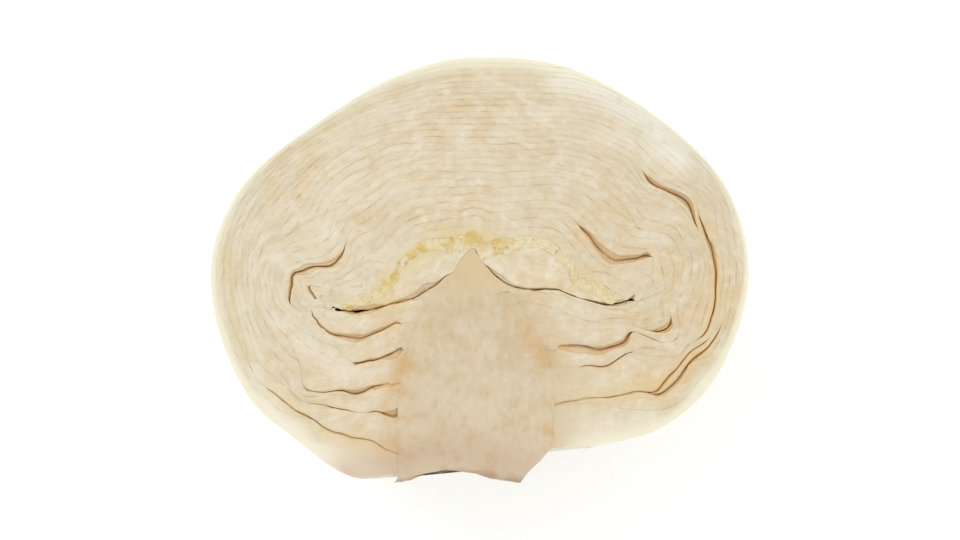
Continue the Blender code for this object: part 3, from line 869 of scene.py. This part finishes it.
def waxySkinMaterial(name):
    # The outer side of a cabbage leaf, as it grew. A bloom of wax a few micrometres thick covers
    # it, so it looks pale green under a dull haze, with white veins in a net that stands proud.
    material, tree = newMaterial(name)
    paint = {key: addNode(tree, "ShaderNodeAttribute", {"attribute_name": key}, {}, "Fac")
             for key in ("vein", "baseWhite", "stain", "level")}
    blade = addNode(tree, "ShaderNodeAttribute", {"attribute_name": "blade"}, {}, "Vector")
    whole = addNode(tree, "ShaderNodeTexCoord", {}, {}, "Object")
    net, fineNet = [addNode(tree, "ShaderNodeTexVoronoi", {"feature": "DISTANCE_TO_EDGE"},
                            {"Vector": blade, "Scale": 1000 / mesh}) for mesh in (5.263, 1.923)]
    noise = {}
    for key, size, detail, roughness in (("clouds", 38.46, 6.0, 0.6), ("wax", 4.762, 3.0, 0.5)):
        spot = addNode(tree, "ShaderNodeMapping", {}, {"Vector": whole, "Scale": perMetre(size)})
        noise[key] = addNode(tree, "ShaderNodeTexNoise", {}, {"Vector": spot, "Scale": 1.0,
                                                             "Detail": detail, "Roughness": roughness})
    ridges = addNode(tree, "ShaderNodeMapRange", {"interpolation_type": "SMOOTHSTEP"},
                     {"Value": net, "From Min": 0.16, "From Max": 0.0})
    rough = addNode(tree, "ShaderNodeMapRange", {}, {"Value": noise["wax"], "To Min": 0.4,
                                                     "To Max": 0.62})
    colour = tinted(tree, "#c1c39a", [
        ([(noise["clouds"], 0.35, 0.65)], 1.0, "#cccaae"),
        ([(net, 0.10, 0.0)], 0.4, "#d6d4c3"),
        ([(fineNet, 0.12, 0.0)], 0.18, "#d6d4c3"),
        ([paint["vein"]], 1.0, "#d8d5c6"),
        ([paint["baseWhite"]], 1.0, "#d6d3c7"),
        ([(noise["wax"], 0.5, 0.75)], 0.25, "#d5d5cc"),
        ([paint["stain"]], 1.0, "#b98d52"),
        ([(paint["level"], 0.985, 0.93)], 0.8, "#cdbd9c")])        # the inner side is not green
    finishSurface(tree, colour, ((ridges, 0.35, 0.4), (noise["wax"], 0.2, 0.3)), {
        "Roughness": rough, "IOR": 1.42,                           # leaf wax
        "Subsurface Weight": 0.2, "Subsurface Radius": (0.9, 1.0, 0.4), "Subsurface Scale": 0.002})
    return material


def stemPithMaterial(name):
    # Cabbage stem, sliced down its middle and snapped off at the end. The pith is dense and has
    # begun to dry, so it looks dull tan with a short grain, orange where the leaves join it and
    # dark brown on the broken end.
    material, tree = newMaterial(name)
    paint = {key: addNode(tree, "ShaderNodeAttribute", {"attribute_name": key}, {}, "Fac")
             for key in ("tip", "flank", "foot", "stumpEnd")}
    whole = addNode(tree, "ShaderNodeTexCoord", {}, {}, "Object")
    noise = {}
    for key, size, detail, roughness in (
            ("grain", (2.381, 3.846, 2.381), 4.0, 0.5),            # longer up the stem
            ("clouds", 16.667, 6.0, 0.65),
            ("cells", 0.909, 2.0, 0.5)):
        spot = addNode(tree, "ShaderNodeMapping", {}, {"Vector": whole, "Scale": perMetre(size)})
        noise[key] = addNode(tree, "ShaderNodeTexNoise", {}, {"Vector": spot, "Scale": 1.0,
                                                             "Detail": detail, "Roughness": roughness})
    colour = tinted(tree, "#c1b197", [
        ([(noise["clouds"], 0.40, 0.62)], 1.0, "#b8a788"),
        ([(noise["grain"], 0.5, 0.72)], 0.35, "#cabfa9"),
        ([(noise["grain"], 0.45, 0.3)], 0.4, "#ac9875"),
        ([paint["tip"]], 0.7, "#c2ab83"),
        ([paint["flank"]], 0.5, "#c1b091"),
        ([paint["flank"], (noise["clouds"], 0.46, 0.62)], 0.75, "#bb9664"),
        ([paint["foot"]], 0.75, "#b59f87"),
        ([paint["foot"], (noise["clouds"], 0.52, 0.64)], 0.6, "#b18c6a"),
        ([paint["stumpEnd"], (noise["clouds"], 0.3, 0.6)], 0.8, "#7f6355")])
    rough = addNode(tree, "ShaderNodeMapRange", {}, {"Value": noise["clouds"], "To Min": 0.5,
                                                     "To Max": 0.7})
    reliefs = ((noise["clouds"], 0.4, 1.0), (noise["grain"], 0.45, 0.5), (noise["cells"], 0.3, 0.3))
    finishSurface(tree, colour, reliefs, {
        "Roughness": rough, "IOR": 1.38,
        "Subsurface Weight": 0.15, "Subsurface Radius": (1.0, 0.7, 0.4), "Subsurface Scale": 0.0018})
    return material


print("mixing the materials")
fleshTints = {"pale": "#cbc1aa", "warm": "#c5b79b", "cloud": "#c0b091", "blush": "#c4aa80",
              "streak": "#b5a382", "white": "#d2cab8", "dash": "#a1875b", "rind": "#dad5c0"}
heartTints = {**fleshTints, "warm": "#c9bea4", "pale": "#cdc3ab", "white": "#d8d0bd"}
cutFlesh = fleshMaterial("cutLeafFlesh", fleshTints)
heartFlesh = fleshMaterial("heartLeafFlesh", heartTints)
budFlesh = crumpledBudMaterial("crumpledBudFlesh")
leafSkin = waxySkinMaterial("waxyLeafSkin")
stemPith = stemPithMaterial("cutStemPith")


print("making the leaves")
for name in names:
    grid = grids["outer" if name in outerNames else "packed"]
    points, facts, faces, cutFaces = leafMesh(leafSheet(name, grid), grid)
    points[:, 2] += cutFace["waver"] * wander(21, 38.0, points[:, 0], points[:, 1]) \
        * np.exp(np.minimum(points[:, 2], 0) / 2.0)
    materials = [budFlesh if name == "bud" else heartFlesh if "heart" in name else cutFlesh]
    tints = leafTints(facts, points)
    if name in outerNames:
        materials = [leafSkin, cutFlesh]
        tints.update(skinTints(names.index(name) - 2, facts[:, 0], facts[:, 1]))
    addPiece("cut_" + name, name, points, faces, materials, tints, cutFaces)


core = {
    "stumpRight": 16.0, "stumpLeft": 28.5,     # how far the broken end reaches to each side
    "hollow": 3.8,                             # height of its arch
    "shoulderGap": 0.03,                       # clear of the heart leaves
    "strips": 28,                              # across the cut face
}


def archLift(x):
    # the broken end of the stem is arched from side to side
    return core["hollow"] * smooth(1.15 - np.abs(x + 8.5) / 15.5)


def laid(s, u, phi):
    u = np.full_like(phi, u)
    return place(settle(np.full_like(phi, s), u, phi, stackHeight(u, phi), 0.0), u, phi)


def coreRings(columns):
    rings = []
    for u in np.linspace(0.995, 0.80, 18):       # over the shoulders, under the heart leaves
        rings.append(laid(0.0, u, columns) - (0, core["shoulderGap"], 0))
    shoulder = rings[-1]
    flankTop = laid(0.03, 0.0, columns)
    for t in np.linspace(0.12, 0.9, 7):
        rings.append(shoulder + (flankTop - shoulder) * t)
    for s in np.linspace(0.03, 1.0, 40):         # down the flank, where the leaves join
        rings.append(laid(s, 0.0, columns))
    rim = rings[-1]
    lean = (1 - np.cos(columns)) / 2
    radius = core["stumpRight"] * (1 - lean) + core["stumpLeft"] * lean
    outward = np.stack([np.cos(columns), 0 * columns, -np.sin(columns)], -1)
    foot = radius[:, None] * outward + (0, stumpBottom, 0)
    for t in np.linspace(0.15, 1.0, 9):
        ring = rim + (foot - rim) * t
        ring[:, 1] += archLift(ring[:, 0]) * smooth((t - 0.4) / 0.6)
        bulge = 0.7 * wander(31, 14.0, *ring.T) * math.sin(math.pi * t)
        rings.append(ring + outward * bulge[:, None])
    for t in (0.93, 0.8, 0.6, 0.35):             # in under the broken end
        ring = foot * (t, 1, t)
        ring[:, 1] += archLift(ring[:, 0]) + 0.8 * smooth((1 - t) / 0.4) \
            + 0.2 * wander(32, 9.0, ring[:, 0], ring[:, 2])
        rings.append(ring)
    return rings


def coreMesh():
    columns = columnSets["outer"]
    rings = coreRings(columns)
    across = len(columns)
    tip = place(0.0, 1.0, 0.0) - (0, core["shoulderGap"], 0)
    end = rings[-1].mean(0) * (0, 1, 0)
    vertices = np.concatenate([[tip], *rings, [end]])
    last = len(vertices) - 1
    faces = []
    for column in range(across - 1):
        faces.append([0, 1 + column, 2 + column])
        for row in range(len(rings) - 1):
            a = 1 + row * across + column
            faces.append([a, a + across, a + across + 1, a + 1])
        a = 1 + (len(rings) - 1) * across + column
        faces.append([a + 1, a, last])
    # the cut face: strips from right to left, then the part over the hollow end in one piece
    right = [1 + row * across for row in range(len(rings))]
    left = [r + across - 1 for r in right]
    hollowTop = stumpBottom + core["hollow"] + 1.5
    whole = [row for row in range(len(rings) - 4) if vertices[right[row], 1] > hollowTop]
    lines = [[0] * (core["strips"] + 1)]
    extra = []
    for row in whole:
        start, stop = vertices[right[row]], vertices[left[row]]
        between = range(1, core["strips"])
        lines.append([right[row], *[len(vertices) + len(extra) + k - 1 for k in between], left[row]])
        extra += [start + (stop - start) * k / core["strips"] for k in between]
    for upper, lower in zip(lines, lines[1:]):
        for k in range(core["strips"]):
            faces.append(list(dict.fromkeys([upper[k], upper[k + 1], lower[k + 1], lower[k]])))
    faces.append(lines[-1] + left[len(whole):] + [last] + right[:len(whole) - 1:-1])
    return np.concatenate([vertices, extra]), faces


def coreTints(x, y):
    return {"flank": flankTint(x, y), "tip": smooth((y + 12) / 14), "foot": nearPaths(footPaths, x, y),
            "stumpEnd": smooth((stumpBottom + archLift(x) + 1.6 - y) / 1.4)}


print("making the core")
points, faces = coreMesh()
tints = coreTints(points[:, 0], points[:, 1])
addPiece("cut_core", "core", points, faces, [stemPith], tints)


studio = {
    "cameraHeight": 0.94, "lens": 100.0,       # metres above the cut face, and mm
    "key": {"power": 8.0, "size": 0.9, "spot": (-0.55, 0.75, 1.25)},
    "fill": {"power": 3.0, "size": 1.2, "spot": (0.8, -0.4, 1.1)},
    "sky": 1.0,
}


def makeFloor():
    # Uncoated white card, rolled flat. Its fibres scatter the light, so it looks even and pale
    # with no sheen.
    material, tree = newMaterial("paleMattePaper")
    whole = addNode(tree, "ShaderNodeTexCoord", {}, {}, "Object")
    fibres = addNode(tree, "ShaderNodeTexNoise", {}, {"Vector": whole, "Scale": 1000 / 2.5})
    colour = tinted(tree, "#fbfbfa", [([fibres], 1.0, "#ffffff")])
    finishSurface(tree, colour, (), {"Roughness": 0.9})
    mesh = bpy.data.meshes.new("floor")
    mesh.from_pydata([(-3, -3, 0), (3, -3, 0), (3, 3, 0), (-3, 3, 0)], [], [(0, 1, 2, 3)])
    mesh.materials.append(material)
    floor = bpy.data.objects.new("floor", mesh)
    floor.location.z = -0.0005
    bpy.context.scene.collection.objects.link(floor)


def makeLight(name, target):
    light = bpy.data.lights.new(name, "AREA")
    light.energy = studio[name]["power"]
    light.shape = "DISK"
    light.size = studio[name]["size"]
    lamp = bpy.data.objects.new(name, light)
    lamp.location = studio[name]["spot"]
    direction = bpy.data.objects.new(name + "Aim", None)
    direction.location = target
    bpy.context.scene.collection.objects.link(lamp)
    bpy.context.scene.collection.objects.link(direction)
    aim = lamp.constraints.new("TRACK_TO")
    aim.target = direction
    aim.track_axis = "TRACK_NEGATIVE_Z"
    aim.up_axis = "UP_Y"


def makeCamera(middle, top):
    camera = bpy.data.objects.new("camera", bpy.data.cameras.new("camera"))
    camera.data.lens = studio["lens"]
    camera.data.sensor_width = 36.0
    camera.location = (middle[0], middle[1], top + studio["cameraHeight"])
    bpy.context.scene.collection.objects.link(camera)
    bpy.context.scene.camera = camera


print("setting up the studio")
top = cadHigh[2] / 1000
makeFloor()
makeLight("key", (0, 0, top / 2))
makeLight("fill", (0, 0, top / 2))
makeCamera((cadLow + cadHigh) / 2000, top)
world = bpy.data.worlds.new("studio")
world.use_nodes = True
world.node_tree.nodes["Background"].inputs["Color"].default_value = (1.0, 1.0, 1.0, 1.0)
world.node_tree.nodes["Background"].inputs["Strength"].default_value = studio["sky"]
bpy.context.scene.world = world
bpy.context.scene.view_settings.view_transform = "Standard"
